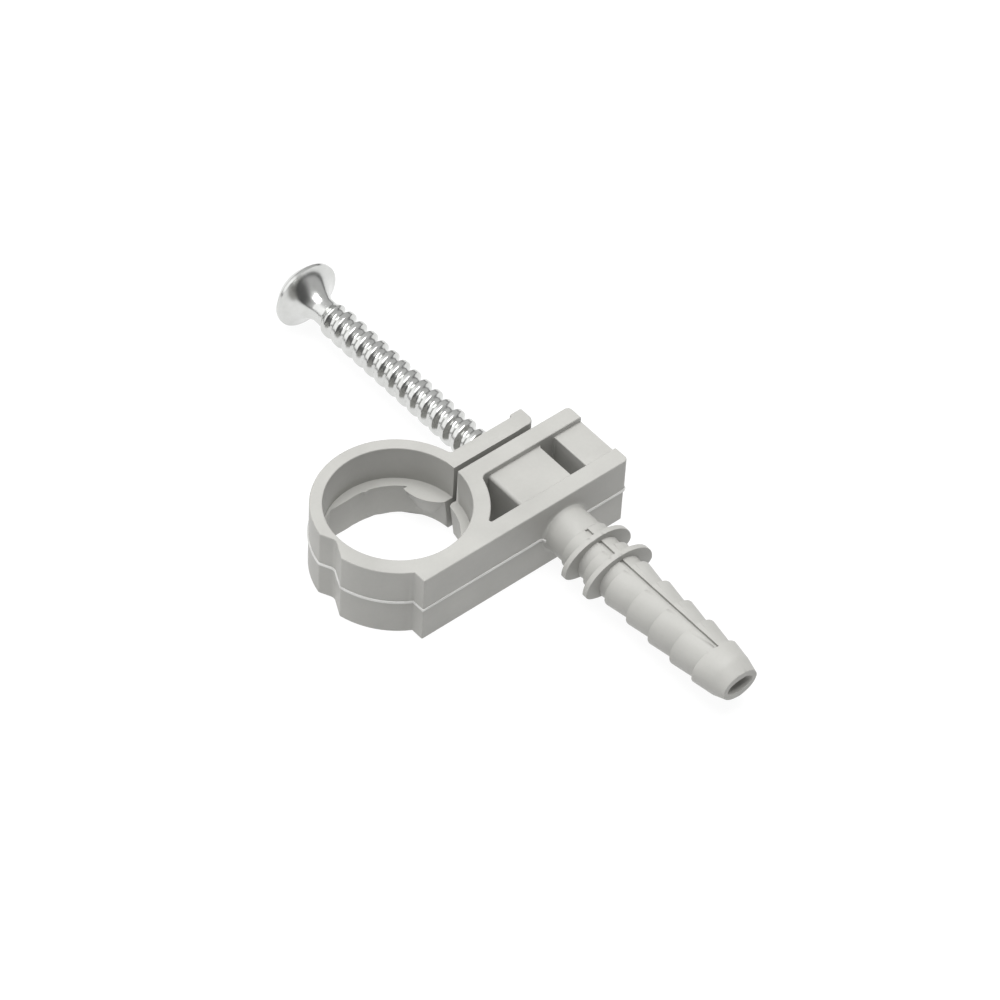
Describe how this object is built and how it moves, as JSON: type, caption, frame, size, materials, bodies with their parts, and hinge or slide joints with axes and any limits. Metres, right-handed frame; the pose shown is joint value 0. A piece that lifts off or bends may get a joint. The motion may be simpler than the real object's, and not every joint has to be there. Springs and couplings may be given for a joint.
{
  "type": "pipe clip",
  "caption": "Grey plastic pipe clip: a split ring with a hinge web, moulded in one piece with a barbed wall plug, and closed by a countersunk screw driven through its flap.",
  "frame": {"origin": "on the pipe's axis, at the clip's middle height, where the bore's wide upper half meets its narrower lower half", "axes": "+Z along the pipe, out of the wide half of the bore; +Y along the plug, into the wall; the block with the plug and the screw lies towards -X"},
  "size_m": [0.0457, 0.1026, 0.0128],
  "materials": {
    "grey_plastic": "fine moulded satin, light warm grey",
    "zinc_plated_steel": "bright zinc plate"
  },
  "bodies": {
    "clip": {"clip_body": "grey_plastic"},
    "screw": {"screw": "zinc_plated_steel"}
  },
  "joints": [
    {"name": "screw_drive", "type": "slide", "parent": "clip", "child": "screw", "axis": [0, 1, 0], "range_m": [-0.004, 0.0419]}
  ]
}
